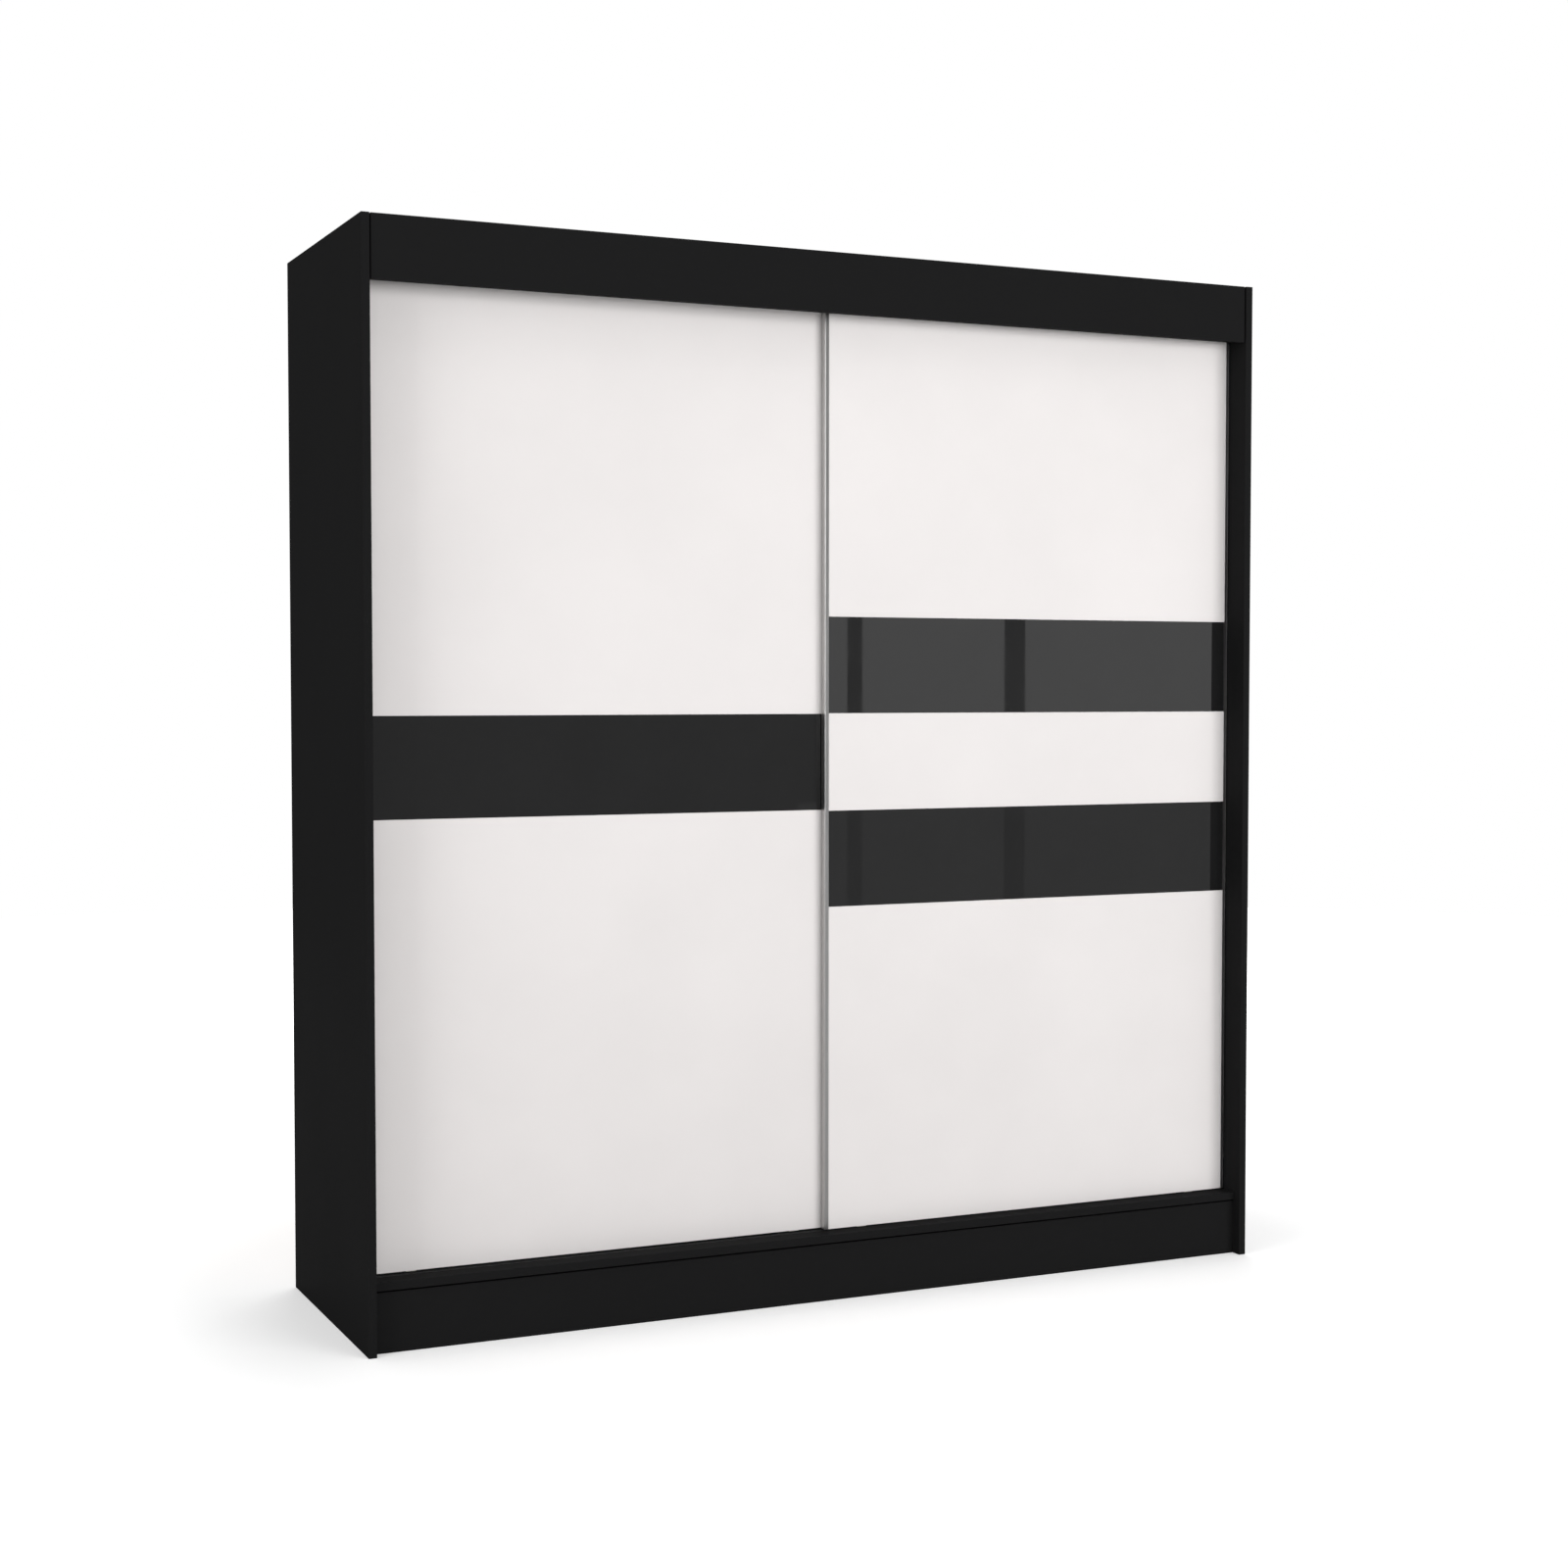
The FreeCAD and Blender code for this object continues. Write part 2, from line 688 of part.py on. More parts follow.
nail_holes = make_nails()
joinery = (*joinery, nail_holes)
make_side_panels()
make_bottom_panel()
make_divider()
make_back_panels()
make_plinths()
make_top_panel(make_header(), make_top_track())
make_channels()
make_stops()

# ---------------------------------------------------------------- doors


def is_upright(edge):
    """True for a straight edge along Z."""
    low, high = edge.BoundBox.ZMin, edge.BoundBox.ZMax
    return abs(high - low - edge.Length) < 1e-6


def make_wheel(name, x, line):
    """A nylon wheel with a stepped face, turning on a plain axle along Y."""
    side = "wheel_width / 2"
    bore, hub, rim = "axle_radius + axle_fit", "wheel_radius / 2", "wheel_radius - wheel_rim"
    sunk = f"{side} - wheel_recess"
    tread = "wheel_radius - wheel_chamfer"
    half = [(bore, side), (hub, side), (hub, sunk), (rim, sunk), (rim, side), (tread, side),
            ("wheel_radius", f"{side} - wheel_chamfer")]
    points = [(radius, f"-({y})") for radius, y in half] + half[::-1]
    piece(name, put(turned(name, points), (x, line, "axle_height")))


def make_rollers(side, places, line):
    """Roller units let into the lower edge: housings, axles, adjusters and screws."""
    spots = [("+z", x, line, "door_low") for x in places]
    screw_spots = [("+z", f"{x} {sign} (flange_length / 2 - ear_screw_inset)", line, "door_low")
                   for x in places for sign in "-+"]
    half = "housing_width / 2"
    wide = ("-housing_width / 2", half)
    flange = box(f"flange_{side}", ("-flange_length / 2", "flange_length / 2"), wide,
                 (0, "flange_sheet"))
    block = box(f"block_{side}", ("-housing_length / 2", "housing_length / 2"), wide,
                (0, "housing_height"))
    unit = join(f"unit_{side}", flange, block)
    room = box(f"wheel_room_{side}", ("-slot_length / 2", "slot_length / 2"),
               ("-slot_width / 2", "slot_width / 2"), ("-cut_past", "wheel_room_top"))
    mortises = copies(f"roller_mortises_{side}", unit, spots)
    axles = together(f"axles_{side}", [
        rod(f"axle_{side}_{number}", "axle_radius", "housing_width",
            (x, f"{line} - {half}", "axle_height"), "+y") for number, x in enumerate(places)])
    adjusters = together(f"adjuster_blanks_{side}", [
        rod(f"adjuster_{side}_{number}", "adjuster_radius", "board / 2 + slot_width / 2",
            (x, f"{line} - slot_width / 2", "door_low + adjuster_height"), "+y")
        for number, x in enumerate(places)])
    socket = hexagon(f"adjuster_socket_{side}", "adjuster_socket", "adjuster_socket_depth")
    sockets = copies(f"adjuster_sockets_{side}", socket,
                     [("-y", x, f"{line} + board / 2", "door_low + adjuster_height")
                      for x in places])
    holes = screws(f"roller_screws_{side}", "roller_screw", screw_spots)[1]
    piece(f"roller_axles_{side}", axles)
    piece(f"roller_adjusters_{side}",
          less(f"roller_adjusters_{side}", adjusters, sockets))
    housings = less(f"roller_housings_{side}", copies(f"units_{side}", unit, spots),
                    copies(f"wheel_rooms_{side}", room, spots), axles, adjusters, holes)
    piece(f"roller_housings_{side}", housings)
    for number, x in enumerate(places, 1):
        make_wheel(f"roller_wheel_{side}_{number}", x, line)
    return mortises, adjusters, holes


def make_guides(side, places, line):
    """Nylon guides plugged into the upper edge, their heads running in the top track."""
    half = "((door_pitch - track_wall) / 2 - guide_fit)"
    long = "guide_length / 2"
    head = extruded(f"guide_head_{side}", "XY_Plane",
                    [(f"-{long}", f"-{half}"), (long, f"-{half}"), (long, half),
                     (f"-{long}", half)], "0", "track_low + guide_reach - door_high")
    rounded(head, "guide_radius", is_upright)
    plug = rod(f"guide_plug_{side}", "board / 4", "guide_plug", (0, 0, "-guide_plug"))
    spots = [("+z", x, line, "door_high") for x in places]
    guide = join(f"guide_{side}", head, plug)
    piece(f"top_guides_{side}", copies(f"top_guides_{side}", guide, spots))
    bore = rod(f"guide_bore_{side}", "board / 4 + hole_fit", "guide_plug + hole_fit",
               (0, 0, "-guide_plug - hole_fit"))
    return copies(f"guide_bores_{side}", bore, spots)


def make_profiles(side, start, end, face):
    """Aluminium C profiles on both upright edges, the door's grips, grooved along the front."""
    back = f"{face} + door_thick"
    sunk = f"{face} + groove_depth"
    for place, edge, sign in (("left", start, "+"), ("right", end, "-")):
        web = f"{edge} {sign} profile_wall"
        lip = f"{edge} {sign} profile_lip"
        near = f"{edge} {sign} groove_inset"
        far = f"{edge} {sign} (groove_inset + groove_width)"
        section = [(edge, face), (near, face), (near, sunk), (far, sunk), (far, face),
                   (lip, face), (lip, f"{face} + profile_wall"),
                   (web, f"{face} + profile_wall"), (web, f"{back} - profile_wall"),
                   (lip, f"{back} - profile_wall"), (lip, back), (edge, back)]
        name = f"{side}_door_profile_{place}"
        body = extruded(name, "XY_Plane", section, "door_low", "door_high")
        outer = doc.getObject("Places").get(f"{side}_start")
        if place == "right":
            outer += doc.getObject("Places").get("door_width")
        rounded(body, "profile_radius",
                lambda item: is_upright(item) and abs(item.BoundBox.XMin - outer) < 1e-6)
        piece(name, body)


def make_door(side, steps):
    """One door: its board, glass strips, profiles, roller units, wheels and guides."""
    start, face, line = f"{side}_start", f"{side}_face", f"{side}_line"
    end = f"{start} + door_width"
    span = (f"{start} + skin", f"{end} - skin")
    board_face = f"{face} + skin"
    blank = box(f"{side}_door_blank", span, (board_face, f"{board_face} + board"),
                ("door_low", "door_high"))
    low = "strip_middle - strip_height / 2"
    cuts = []
    tapes = []
    for number, step in enumerate(steps, 1):
        bottom = f"{low} + {step} * strip_step"
        top = f"{bottom} + strip_height"
        cuts.append(box(f"{side}_recess_{number}", span,
                        (board_face, f"{board_face} + strip_seat"),
                        (f"{bottom} - strip_gap", f"{top} + strip_gap")))
        name = f"glass_strip_{side}" + (f"_{number}" if len(steps) > 1 else "")
        piece(name, box(name, (f"{start} + skin + strip_gap", f"{end} - skin - strip_gap"),
                        (board_face, f"{board_face} + glass_sheet"), (bottom, top)))
        for edge, rise in enumerate((f"{bottom} + tape_width", f"{top} - 2 * tape_width")):
            tapes.append(box(f"{side}_tape_{number}_{edge}",
                             (f"{start} + tape_width", f"{end} - tape_width"),
                             (f"{board_face} + glass_sheet", f"{board_face} + strip_seat"),
                             (rise, f"{rise} + tape_width")))
    piece(f"glass_tape_{side}", together(f"glass_tape_{side}", tapes))
    wheels = [f"{start} + roller_inset", f"{end} - roller_inset"]
    guides = [f"{start} + guide_inset", f"{end} - guide_inset"]
    cuts += make_rollers(side, wheels, line)
    cuts.append(make_guides(side, guides, line))
    name = f"door_board_{side}"
    piece(name, less(name, blank, *cuts))
    make_profiles(side, start, end, face)


def make_seal():
    """A pile strip on the front door's trailing profile that closes the gap behind it."""
    back = "right_face + door_thick"
    low = "right_start + seal_inset"
    piece("pile_seal", box("pile_seal", (low, f"{low} + seal_width"),
                           (back, "left_face - seal_clearance"), ("door_low", "door_high")))


make_door("left", [0])
make_door("right", [-1, 1])
make_seal()

# ---------------------------------------------------------------- checks and files


def check_document():
    doc.recompute()
    failed = [item.Name for item in doc.Objects if set(item.State) & {"Invalid", "Error"}]
    if failed:
        raise RuntimeError("these did not build: " + ", ".join(failed))
    for item in pieces:
        if item.Shape.isNull() or not item.Shape.isValid() or not item.Shape.Solids:
            raise RuntimeError(f"{item.Label} is not a sound solid")


def write_parts():
    os.makedirs("parts", exist_ok=True)
    for item in pieces:
        item.Shape.exportStep(f"parts/{item.Label}.step")
        print(f"{item.Label}: {len(item.Shape.Solids)} solids")


check_document()
write_parts()
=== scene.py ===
"""The looks of a two-door sliding wardrobe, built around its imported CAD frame.

Metres. The wardrobe stands on z = 0 with its doors towards -Y.
"""
import json
import math
import random

import bmesh
import bpy
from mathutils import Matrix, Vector


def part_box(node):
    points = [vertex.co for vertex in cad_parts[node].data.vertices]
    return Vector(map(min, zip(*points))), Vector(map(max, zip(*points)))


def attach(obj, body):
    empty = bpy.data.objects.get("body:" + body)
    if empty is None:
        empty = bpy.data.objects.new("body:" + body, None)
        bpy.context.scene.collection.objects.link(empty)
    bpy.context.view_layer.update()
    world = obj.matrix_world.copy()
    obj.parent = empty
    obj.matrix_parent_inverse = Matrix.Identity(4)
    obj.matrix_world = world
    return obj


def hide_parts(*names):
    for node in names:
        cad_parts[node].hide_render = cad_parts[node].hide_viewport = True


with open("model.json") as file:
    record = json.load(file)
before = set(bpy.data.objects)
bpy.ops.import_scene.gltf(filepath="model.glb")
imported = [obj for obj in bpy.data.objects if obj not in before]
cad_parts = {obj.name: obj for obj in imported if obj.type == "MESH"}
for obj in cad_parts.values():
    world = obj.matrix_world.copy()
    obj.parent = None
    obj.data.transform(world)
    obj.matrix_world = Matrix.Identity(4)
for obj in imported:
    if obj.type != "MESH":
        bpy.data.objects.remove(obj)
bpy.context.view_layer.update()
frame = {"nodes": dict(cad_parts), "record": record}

MM = 0.001

# ------------------------------------------------------------------ material nodes


def new_material(name):
    """A node material, its tree and its Principled shader."""
    material = bpy.data.materials.new(name)
    material.use_nodes = True
    tree = material.node_tree
    return material, tree, tree.nodes["Principled BSDF"]


def add(tree, kind, inputs=None, **settings):
    """A node with its settings and its inputs, each a plain value or another node's output."""
    item = tree.nodes.new(kind)
    for key, value in settings.items():
        setattr(item, key, value)
    for key, value in (inputs or {}).items():
        if isinstance(value, bpy.types.NodeSocket):
            tree.links.new(value, item.inputs[key])
        else:
            item.inputs[key].default_value = value
    return item


def place(tree, scale=(1, 1, 1)):
    """The point on the piece in metres, stretched by the scale."""
    where = add(tree, "ShaderNodeTexCoord")
    return add(tree, "ShaderNodeMapping", {"Vector": where.outputs["Object"], "Scale": scale}).outputs[0]


def noise(tree, point, size, detail=4.0, rough=0.55):
    """Noise whose features are about the given size in metres."""
    inputs = {"Vector": point, "Scale": 1 / size, "Detail": detail, "Roughness": rough}
    return add(tree, "ShaderNodeTexNoise", inputs).outputs["Fac"]


def ramp(tree, value, low, high, to_low, to_high):
    """The value carried from one range to another, held at both ends."""
    inputs = {"Value": value, "From Min": low, "From Max": high, "To Min": to_low, "To Max": to_high}
    return add(tree, "ShaderNodeMapRange", inputs).outputs[0]


def blend_colours(tree, factor, first, second):
    """From the first colour at a factor of 0 to the second at 1."""
    item = add(tree, "ShaderNodeMix", data_type="RGBA")
    for key, value in (("Factor", factor), ("A", first), ("B", second)):
        socket = [s for s in item.inputs if s.name == key and s.enabled][0]
        if isinstance(value, bpy.types.NodeSocket):
            tree.links.new(value, socket)
        elif key == "Factor":
            socket.default_value = value
        else:
            socket.default_value = (*value, 1)
    return [s for s in item.outputs if s.enabled][0]


def two_tone(tree, mask, low, high, first, second):
    """The first colour where the mask is under low, the second where it is over high."""
    return blend_colours(tree, ramp(tree, mask, low, high, 0, 1), first, second)


def colour_and_roughness(tree, shader, colour, roughness):
    """Links both to the shader."""
    tree.links.new(colour, shader.inputs["Base Color"])
    tree.links.new(roughness, shader.inputs["Roughness"])


def bump(tree, shader, height, depth, strength=1.0):
    """Relief of the given depth in metres."""
    inputs = {"Height": height, "Distance": depth, "Strength": strength}
    item = add(tree, "ShaderNodeBump", inputs)
    tree.links.new(item.outputs[0], shader.inputs["Normal"])


def shade(colour, amount):
    """The colour made darker or lighter."""
    return tuple(min(1.0, part * amount) for part in colour)


# ------------------------------------------------------------------ materials


def laminate(name, colour, gloss, specular, grain, depth):
    """Melamine-faced board: a fine pearl relief, and sheen that drifts over the sheet."""
    material, tree, shader = new_material(name)
    point = place(tree)
    drift = noise(tree, point, 350 * MM, 3)
    pearl = noise(tree, point, grain, 2, 0.5)
    tone = two_tone(tree, drift, 0.35, 0.65, shade(colour, 0.97), shade(colour, 1.02))
    speckle = ramp(tree, pearl, 0.3, 0.7, 0, 0.25)
    fleck = blend_colours(tree, speckle, shade(colour, 0.9), shade(colour, 1.03))
    mixed = blend_colours(tree, 0.35, tone, fleck)
    colour_and_roughness(tree, shader, mixed, ramp(tree, drift, 0.3, 0.7, gloss - 0.03, gloss + 0.04))
    shader.inputs["Specular IOR Level"].default_value = specular
    bump(tree, shader, pearl, depth)
    return material


def black_glass(name, thin_paint, thick_paint):
    """Float glass painted black behind: a flat polished face with the faintest roller wave."""
    material, tree, shader = new_material(name)
    point = place(tree)
    wave = noise(tree, place(tree, (1, 1, 4)), 250 * MM, 1, 0.3)
    film = noise(tree, point, 120 * MM, 5, 0.6)
    paint = two_tone(tree, film, 0.3, 0.7, thin_paint, thick_paint)
    colour_and_roughness(tree, shader, paint, ramp(tree, film, 0.35, 0.75, 0.01, 0.03))
    shader.inputs["IOR"].default_value = 1.52
    bump(tree, shader, wave, 0.03 * MM)
    return material


def anodised(name, colour, rough):
    """Drawn aluminium: hairlines along Z, with a soft satin of the anodising over them."""
    material, tree, shader = new_material(name)
    lines = noise(tree, place(tree, (1, 1, 0.004)), 0.5 * MM, 3, 0.7)
    cloud = noise(tree, place(tree, (1, 1, 0.3)), 50 * MM, 3)
    tone = two_tone(tree, lines, 0.3, 0.7, shade(colour, 0.92), shade(colour, 1.05))
    colour_and_roughness(tree, shader, tone, ramp(tree, cloud, 0.3, 0.7, rough - 0.04, rough + 0.05))
    shader.inputs["Metallic"].default_value = 1.0
    bump(tree, shader, lines, 0.01 * MM, 0.6)
    return material


def track_metal(name, colour, rough):
    """Drawn aluminium with its hairlines along X, and the scuffs of the guides."""
    material, tree, shader = new_material(name)
    lines = noise(tree, place(tree, (0.004, 1, 1)), 0.5 * MM, 3, 0.7)
    scuffs = noise(tree, place(tree, (0.2, 1, 1)), 6 * MM, 4)
    tone = two_tone(tree, lines, 0.3, 0.7, shade(colour, 0.9), shade(colour, 1.05))
    colour_and_roughness(tree, shader, tone, ramp(tree, scuffs, 0.45, 0.7, rough, rough + 0.15))
    shader.inputs["Metallic"].default_value = 1.0
    bump(tree, shader, lines, 0.01 * MM, 0.6)
    return material


def metal(name, colour, rough, grain, depth):
    """Plated or cast metal with a fine crystalline or sandy face."""
    material, tree, shader = new_material(name)
    point = place(tree)
    crystal = noise(tree, point, grain, 3, 0.6)
    stain = noise(tree, point, grain * 12, 4)
    tone = two_tone(tree, stain, 0.35, 0.7, shade(colour, 1.04), shade(colour, 0.86))
    colour_and_roughness(tree, shader, tone, ramp(tree, crystal, 0.3, 0.7, rough - 0.04, rough + 0.08))
    shader.inputs["Metallic"].default_value = 1.0
    bump(tree, shader, crystal, depth)
    return material


def plastic(name, colour, rough, grain, depth):
    """Moulded plastic with spark-eroded grain and slow colour drift."""
    material, tree, shader = new_material(name)
    point = place(tree)
    skin = noise(tree, point, grain, 4, 0.6)
    drift = noise(tree, point, 30 * MM, 2)
    tone = two_tone(tree, drift, 0.3, 0.7, shade(colour, 0.93), shade(colour, 1.05))
    colour_and_roughness(tree, shader, tone, ramp(tree, skin, 0.3, 0.7, rough - 0.05, rough + 0.08))
    bump(tree, shader, skin, depth)
    return material


def hardboard(name, dark, light, stain, lacquer_dark, lacquer_light):
    """Thin fibreboard: black lacquer on the room side, bare brown fibre behind."""
    material, tree, shader = new_material(name)
    point = place(tree)
    fibre = noise(tree, place(tree, (1, 1, 0.35)), 2.2 * MM, 6, 0.7)
    cloud = noise(tree, point, 80 * MM, 4)
    brown = two_tone(tree, fibre, 0.35, 0.65, dark, light)
    brown = blend_colours(tree, ramp(tree, cloud, 0.3, 0.7, 0, 0.35), brown, stain)
    facing = add(tree, "ShaderNodeSeparateXYZ", {0: add(tree, "ShaderNodeTexCoord").outputs["Normal"]})
    behind = ramp(tree, facing.outputs["Y"], 0.4, 0.6, 0, 1)
    black = blend_colours(tree, fibre, lacquer_dark, lacquer_light)
    both = blend_colours(tree, behind, black, brown)
    colour_and_roughness(tree, shader, both, ramp(tree, behind, 0, 1, 0.42, 0.8))
    shader.inputs["Specular IOR Level"].default_value = 0.3
    bump(tree, shader, fibre, 0.12 * MM)
    return material


def beech(name, dark, light):
    """Turned beech with its grain along X."""
    material, tree, shader = new_material(name)
    rings = noise(tree, place(tree, (0.05, 1, 1)), 1.6 * MM, 4, 0.6)
    pores = noise(tree, place(tree, (0.03, 1, 1)), 0.4 * MM, 2, 0.6)
    tree.links.new(two_tone(tree, rings, 0.35, 0.65, dark, light), shader.inputs["Base Color"])
    shader.inputs["Roughness"].default_value = 0.6
    bump(tree, shader, pores, 0.05 * MM)
    return material


def pile(name, dark, light):
    """Nylon pile, with the fibres of each tuft."""
    material, tree, shader = new_material(name)
    fibres = noise(tree, place(tree), 0.6 * MM, 5, 0.7)
    tree.links.new(two_tone(tree, fibres, 0.3, 0.7, dark, light), shader.inputs["Base Color"])
    shader.inputs["Roughness"].default_value = 0.9
    shader.inputs["Sheen Weight"].default_value = 0.4
    bump(tree, shader, fibres, 0.3 * MM)
    return material


RECIPES = {
    "black_laminate": (laminate, dict(colour=(0.0138, 0.0138, 0.0141), gloss=0.42, specular=0.002,
                                      grain=0.9 * MM, depth=0.03 * MM)),
    "white_laminate": (laminate, dict(colour=(0.865, 0.833, 0.824), gloss=0.42, specular=0.4,
                                      grain=0.8 * MM, depth=0.025 * MM)),
    "black_glass": (black_glass, dict(thin_paint=(0.0122, 0.0122, 0.0124),
                                      thick_paint=(0.0140, 0.0140, 0.0142))),
    "aluminium": (anodised, dict(colour=(0.53, 0.525, 0.52), rough=0.32)),
    "track_aluminium": (track_metal, dict(colour=(0.62, 0.62, 0.63), rough=0.3)),
    "steel": (metal, dict(colour=(0.58, 0.58, 0.57), rough=0.28, grain=0.6 * MM, depth=0.01 * MM)),
    "chrome": (metal, dict(colour=(0.80, 0.80, 0.81), rough=0.07, grain=2 * MM, depth=0.002 * MM)),
    "zinc": (metal, dict(colour=(0.52, 0.52, 0.53), rough=0.42, grain=0.5 * MM, depth=0.03 * MM)),
    "nylon": (plastic, dict(colour=(0.72, 0.70, 0.64), rough=0.42, grain=0.8 * MM, depth=0.02 * MM)),
    "housing_plastic": (plastic, dict(colour=(0.035, 0.035, 0.038), rough=0.45, grain=0.7 * MM,
                                      depth=0.03 * MM)),
    "channel_plastic": (plastic, dict(colour=(0.012, 0.012, 0.013), rough=0.5, grain=0.7 * MM,
                                      depth=0.03 * MM)),
    "rubber": (plastic, dict(colour=(0.02, 0.02, 0.02), rough=0.7, grain=0.6 * MM, depth=0.04 * MM)),
    "foam_tape": (plastic, dict(colour=(0.75, 0.75, 0.72), rough=0.85, grain=0.6 * MM, depth=0.1 * MM)),
    "hardboard": (hardboard, dict(dark=(0.21, 0.118, 0.062), light=(0.32, 0.19, 0.105),
                                  stain=(0.25, 0.15, 0.09), lacquer_dark=(0.010, 0.010, 0.011),
                                  lacquer_light=(0.016, 0.016, 0.017))),
    "beech": (beech, dict(dark=(0.50, 0.31, 0.17), light=(0.66, 0.44, 0.26))),
    "pile": (pile, dict(dark=(0.03, 0.03, 0.032), light=(0.12, 0.12, 0.125))),
}
MATERIALS = {name: recipe(name, **values) for name, (recipe, values) in RECIPES.items()}

# Nodes whose hairlines run another way than their slot's material has them.
OTHER_MATERIALS = {"top_track": "track_aluminium"}

# How far the edges of the nodes with these first words are rounded, in millimetres.
EDGE_WIDTHS = {
    "side_panel": 0.5, "header_fascia": 0.5, "bottom_panel": 0.5, "top_panel": 0.5,
    "center_divider": 0.6, "plinth": 0.6, "shelf": 0.7, "hat_shelf": 0.7,
    "door_board": 0.2, "glass_strip": 0.25,
    "header_brackets": 0.3, "top_track": 0.15, "bottom_channel": 0.15, "track_stops": 0.8,
}
EDGE_SEGMENTS = 3
SHARP_ANGLE = 40


def dress_nodes():
    """Gives every CAD node the material of its slot."""
    slots = {entry["node"]: entry["material_slot"] for entry in frame["record"]["subparts"]}
    for name, piece in frame["nodes"].items():
        material = MATERIALS[OTHER_MATERIALS.get(name, slots[name])]
        if not piece.material_slots:
            piece.data.materials.append(material)
        for material_slot in piece.material_slots:
            material_slot.material = material


def soften_edges():
    """Small round-overs, as edge banding, polished glass and extrusions have them."""
    for name, piece in frame["nodes"].items():
        widths = [width for start, width in EDGE_WIDTHS.items() if name.startswith(start)]
        if widths:
            rounding = piece.modifiers.new("edge", "BEVEL")
            rounding.width = widths[0] * MM
            rounding.segments = EDGE_SEGMENTS
            rounding.limit_method = "ANGLE"
            rounding.angle_limit = math.radians(SHARP_ANGLE)


dress_nodes()
soften_edges()

# ------------------------------------------------------------------ the pile strip between the doors

TUFT_WIDTH = 0.84     # of the distance between two rows
TIP_WIDTH = 0.45      # of the root's width
ROOT_DEPTH = 0.3      # of the backing's thickness
LEAN_ACROSS = 0.3     # of the distance between two rows
LEAN_ALONG = 0.4      # of the pitch along a row
TRIM = 0.12           # the most that a tuft falls short, of its length
SEED = 7


def tuft(points, faces, root, tip, half):
    """A four-sided tuft of fibres, closed at both ends and narrower at its tip."""
    first = len(points)
    for (x, y, z), size in ((root, half), (tip, half * TIP_WIDTH)):
        points += [(x - size, y, z - size), (x + size, y, z - size),
                   (x + size, y, z + size), (x - size, y, z + size)]
    sides = [(first + k, first + 4 + k, first + 4 + (k + 1) % 4, first + (k + 1) % 4) for k in range(4)]
    faces += sides + [tuple(first + k for k in range(4)), tuple(first + 7 - k for k in range(4))]


def make_pile_strip(pitch, rows, backing):
    """A woven backing on the front door, with rows of leaning tufts that brush the rear door."""
    low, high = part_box("pile_seal")
    points, faces = [], []
    back = low[1] + backing
    points += [(x, y, z) for x in (low[0], high[0]) for y in (low[1], back) for z in (low[2], high[2])]
    faces += [(0, 1, 3, 2), (4, 6, 7, 5), (0, 4, 5, 1), (2, 3, 7, 6), (0, 2, 6, 4), (1, 5, 7, 3)]
    draw = random.Random(SEED)
    across = (high[0] - low[0]) / rows
    root = back - backing * ROOT_DEPTH
    for step in range(1, int((high[2] - low[2]) / pitch)):
        z = low[2] + step * pitch
        for row in range(rows):
            x = low[0] + (row + 0.5) * across
            tip_x = x + draw.uniform(-LEAN_ACROSS, LEAN_ACROSS) * across
            tip_z = z + draw.uniform(-LEAN_ALONG, LEAN_ALONG) * pitch
            reach = high[1] - draw.uniform(0, TRIM) * (high[1] - back)
            tuft(points, faces, (x, root, z), (tip_x, reach, tip_z), across * TUFT_WIDTH / 2)
    mesh = bpy.data.meshes.new("pile_strip")
    mesh.from_pydata(points, [], faces)
    mesh.materials.append(MATERIALS["pile"])
    strip = bpy.data.objects.new("pile_strip", mesh)
    bpy.context.scene.collection.objects.link(strip)
    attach(strip, "door_right")
    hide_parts("pile_seal")


make_pile_strip(pitch=2 * MM, rows=3, backing=0.4 * MM)

# ------------------------------------------------------------------ floor, light and camera

# A softbox: its name, place, target, width and height, radiance, and whether glossy faces mirror it.
SOFTBOXES = (
    ("front", (-1.4, -6.5, 2.3), (-1.4, 0, 2.3), (5.2, 2.0), 1.8, True),
    ("left", (-6.0, -2.5, 2.4), (0, -0.3, 1.2), (3.0, 3.0), 4.5, True),
    ("fill", (2.8, -6.0, 2.1), (0.4, 0, 1.2), (4.0, 2.6), 6.5, False),
    ("rear", (2.5, 5.5, 2.8), (0, 0.3, 1.2), (5.0, 3.0), 3.6, True),
    ("overhead", (0, 1.0, 5.0), (0, 1.0, 0), (10.0, 8.0), 0.6, True),
)

# Two rows of soft panes to the right of the camera, which the glass strips of the right door mirror.
PANE_DISTANCE = 5.5
PANE_HEIGHT = 0.5
PANE_ROWS = ((1.40, 0.82), (0.50, 0.15))                         # height of the middle, radiance
PANE_EDGES = ((2.40, 2.63), (2.705, 3.449), (3.561, 4.85))       # left and right

CAMERA_PLACE = (-2.1468, -4.6657, 1.2656)
CAMERA_TURN = 24.72   # degrees to the right of straight ahead
CAMERA_DROP = 2.294   # degrees below level
LENS = 54.6           # millimetres, on a sensor of the width below
SENSOR_WIDTH = 36.0


def camera_switch(tree, unseen, seen):
    """What the camera sees, and what lights and is mirrored, as two shaders in one."""
    ray = add(tree, "ShaderNodeLightPath")
    both = {0: ray.outputs["Is Camera Ray"], 1: unseen.outputs[0], 2: seen.outputs[0]}
    return add(tree, "ShaderNodeMixShader", both).outputs[0]


def grey(level):
    return (level, level, level, 1)


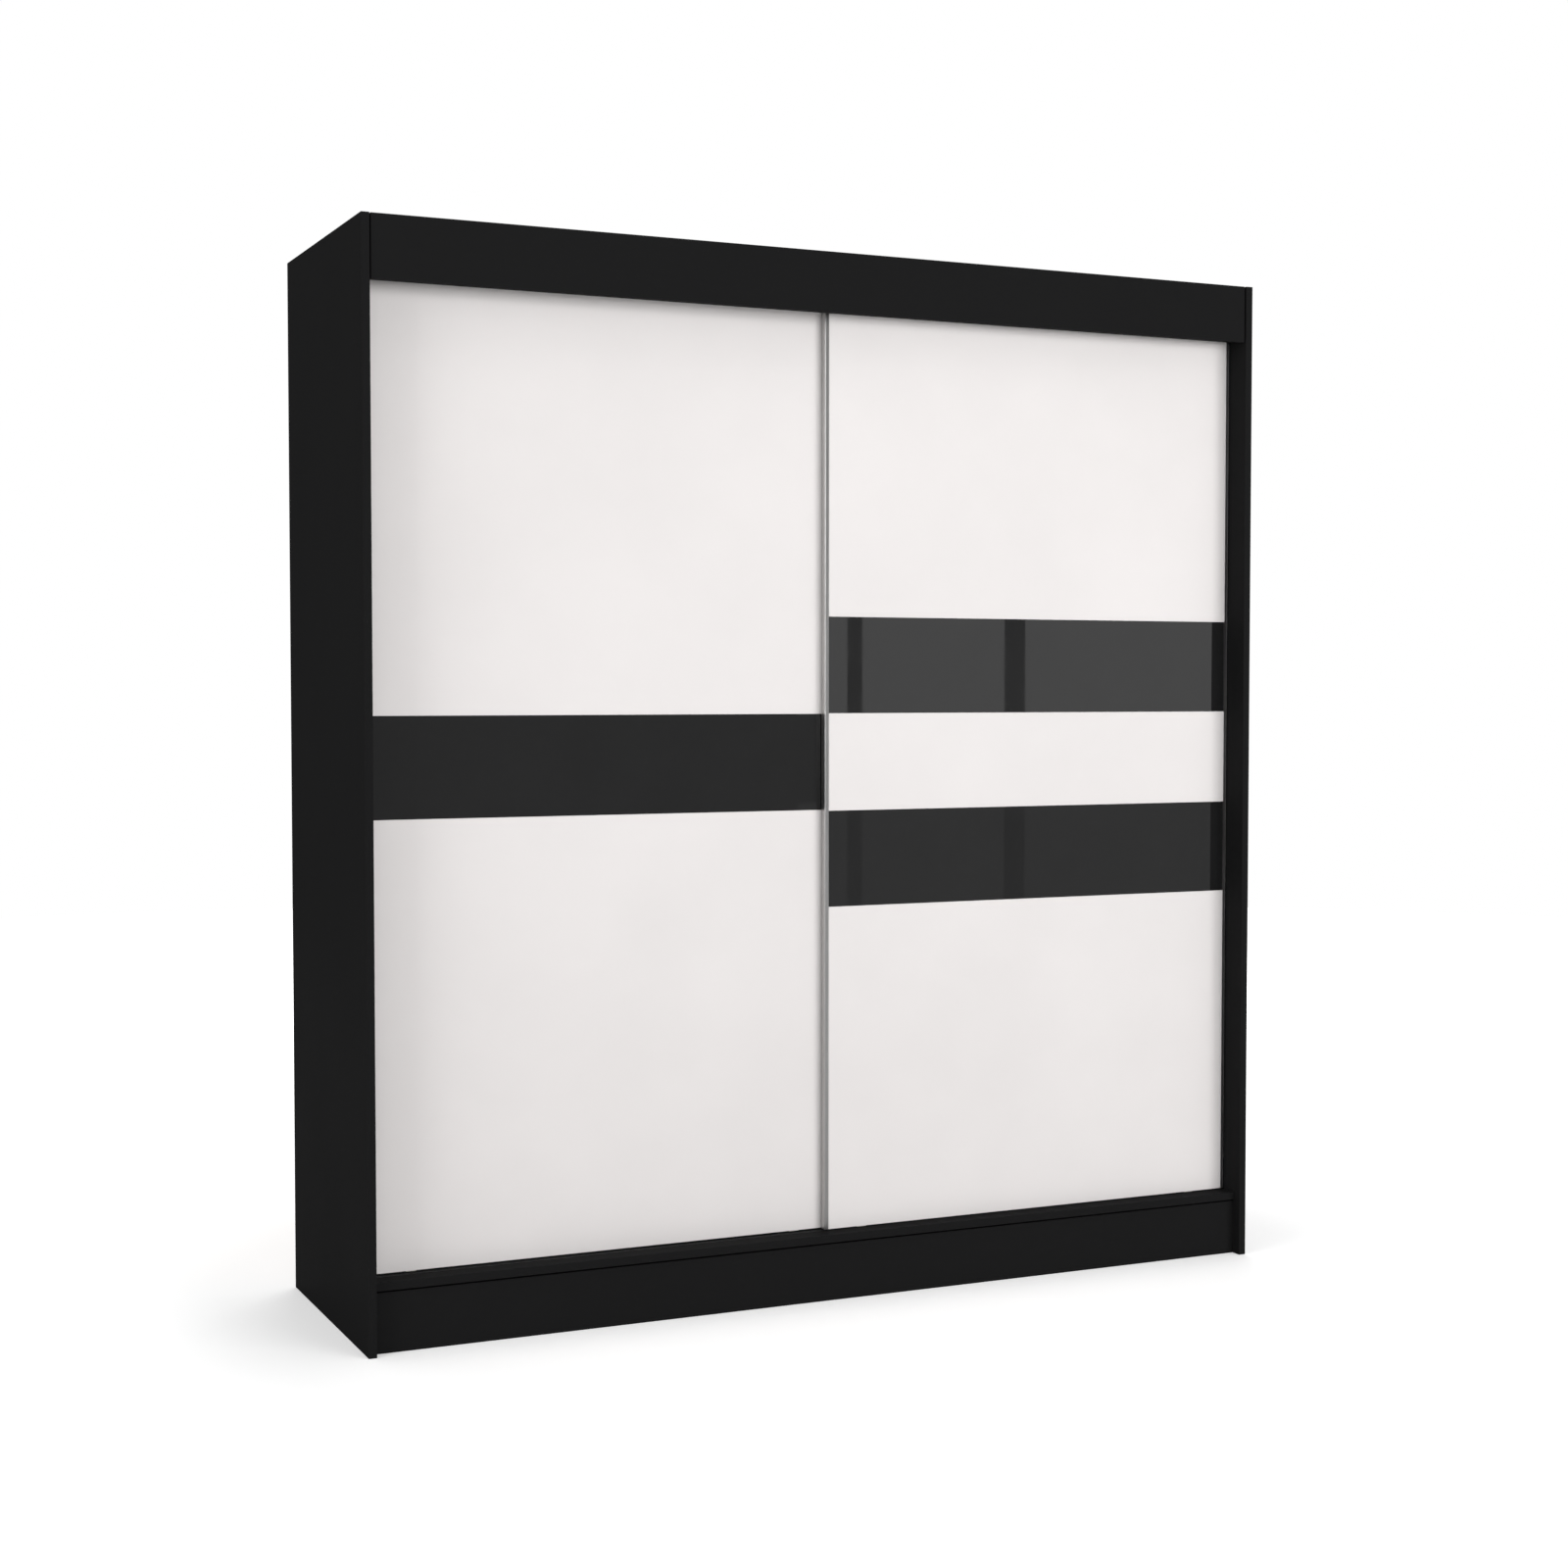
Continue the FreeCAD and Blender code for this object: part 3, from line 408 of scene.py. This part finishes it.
def make_floor(radius, tone, bounce_tone, near, far, low_glow, high_glow):
    """A white round floor. The camera sees it fade into the backdrop away from the wardrobe."""
    mesh = bpy.data.meshes.new("floor")
    work = bmesh.new()
    bmesh.ops.create_circle(work, cap_ends=True, segments=96, radius=radius)
    work.to_mesh(mesh)
    work.free()
    floor = bpy.data.objects.new("floor", mesh)
    bpy.context.scene.collection.objects.link(floor)
    material, tree, shader = new_material("floor_paint")
    shader.inputs["Base Color"].default_value = grey(tone)
    shader.inputs["Roughness"].default_value = 0.9
    shader.inputs["Specular IOR Level"].default_value = 0.0
    distance = add(tree, "ShaderNodeVectorMath", {0: place(tree)}, operation="LENGTH").outputs["Value"]
    shader.inputs["Emission Color"].default_value = grey(1)
    glow = ramp(tree, distance, near, far, low_glow, high_glow)
    tree.links.new(glow, shader.inputs["Emission Strength"])
    bounce = add(tree, "ShaderNodeBsdfDiffuse", {"Color": grey(bounce_tone)})
    tree.links.new(camera_switch(tree, bounce, shader), tree.nodes["Material Output"].inputs["Surface"])
    mesh.materials.append(material)


def make_world(fill, backdrop):
    """Soft light from all round; the camera sees it as a plain white backdrop."""
    world = bpy.data.worlds.new("studio")
    bpy.context.scene.world = world
    world.use_nodes = True
    tree = world.node_tree
    tree.nodes.clear()
    seen = add(tree, "ShaderNodeBackground", {"Color": grey(1), "Strength": backdrop})
    lit = add(tree, "ShaderNodeBackground", {"Color": grey(1), "Strength": fill})
    add(tree, "ShaderNodeOutputWorld", {"Surface": camera_switch(tree, lit, seen)})


def softbox(name, where, target, size, radiance, mirrored):
    """A rectangular area light that faces the target; radiance is its own brightness."""
    light = bpy.data.lights.new(name, "AREA")
    light.shape = "RECTANGLE"
    light.size, light.size_y = size
    light.energy = radiance * size[0] * size[1] * math.pi
    box = bpy.data.objects.new(name, light)
    box.location = where
    aim = Vector(target) - Vector(where)
    box.rotation_euler = aim.to_track_quat("-Z", "Y").to_euler()
    box.visible_camera = False
    box.visible_glossy = mirrored
    bpy.context.scene.collection.objects.link(box)


def make_panes():
    for row, (height, radiance) in enumerate(PANE_ROWS):
        for pane, (left, right) in enumerate(PANE_EDGES):
            middle = (left + right) / 2
            softbox(f"pane_{row}_{pane}", (middle, -PANE_DISTANCE, height), (middle, 0, height),
                    (right - left, PANE_HEIGHT), radiance, True)


def make_camera():
    data = bpy.data.cameras.new("camera")
    data.sensor_width = SENSOR_WIDTH
    data.lens = LENS
    camera = bpy.data.objects.new("camera", data)
    camera.location = CAMERA_PLACE
    camera.rotation_euler = (math.radians(90 - CAMERA_DROP), 0, math.radians(-CAMERA_TURN))
    bpy.context.scene.collection.objects.link(camera)
    bpy.context.scene.camera = camera


make_floor(radius=9.0, tone=0.92, bounce_tone=0.52, near=1.2, far=3.6, low_glow=0.30, high_glow=1.0)
make_world(fill=0.26, backdrop=1.0)
for values in SOFTBOXES:
    softbox(*values)
make_panes()
make_camera()
bpy.context.scene.view_settings.view_transform = "Standard"
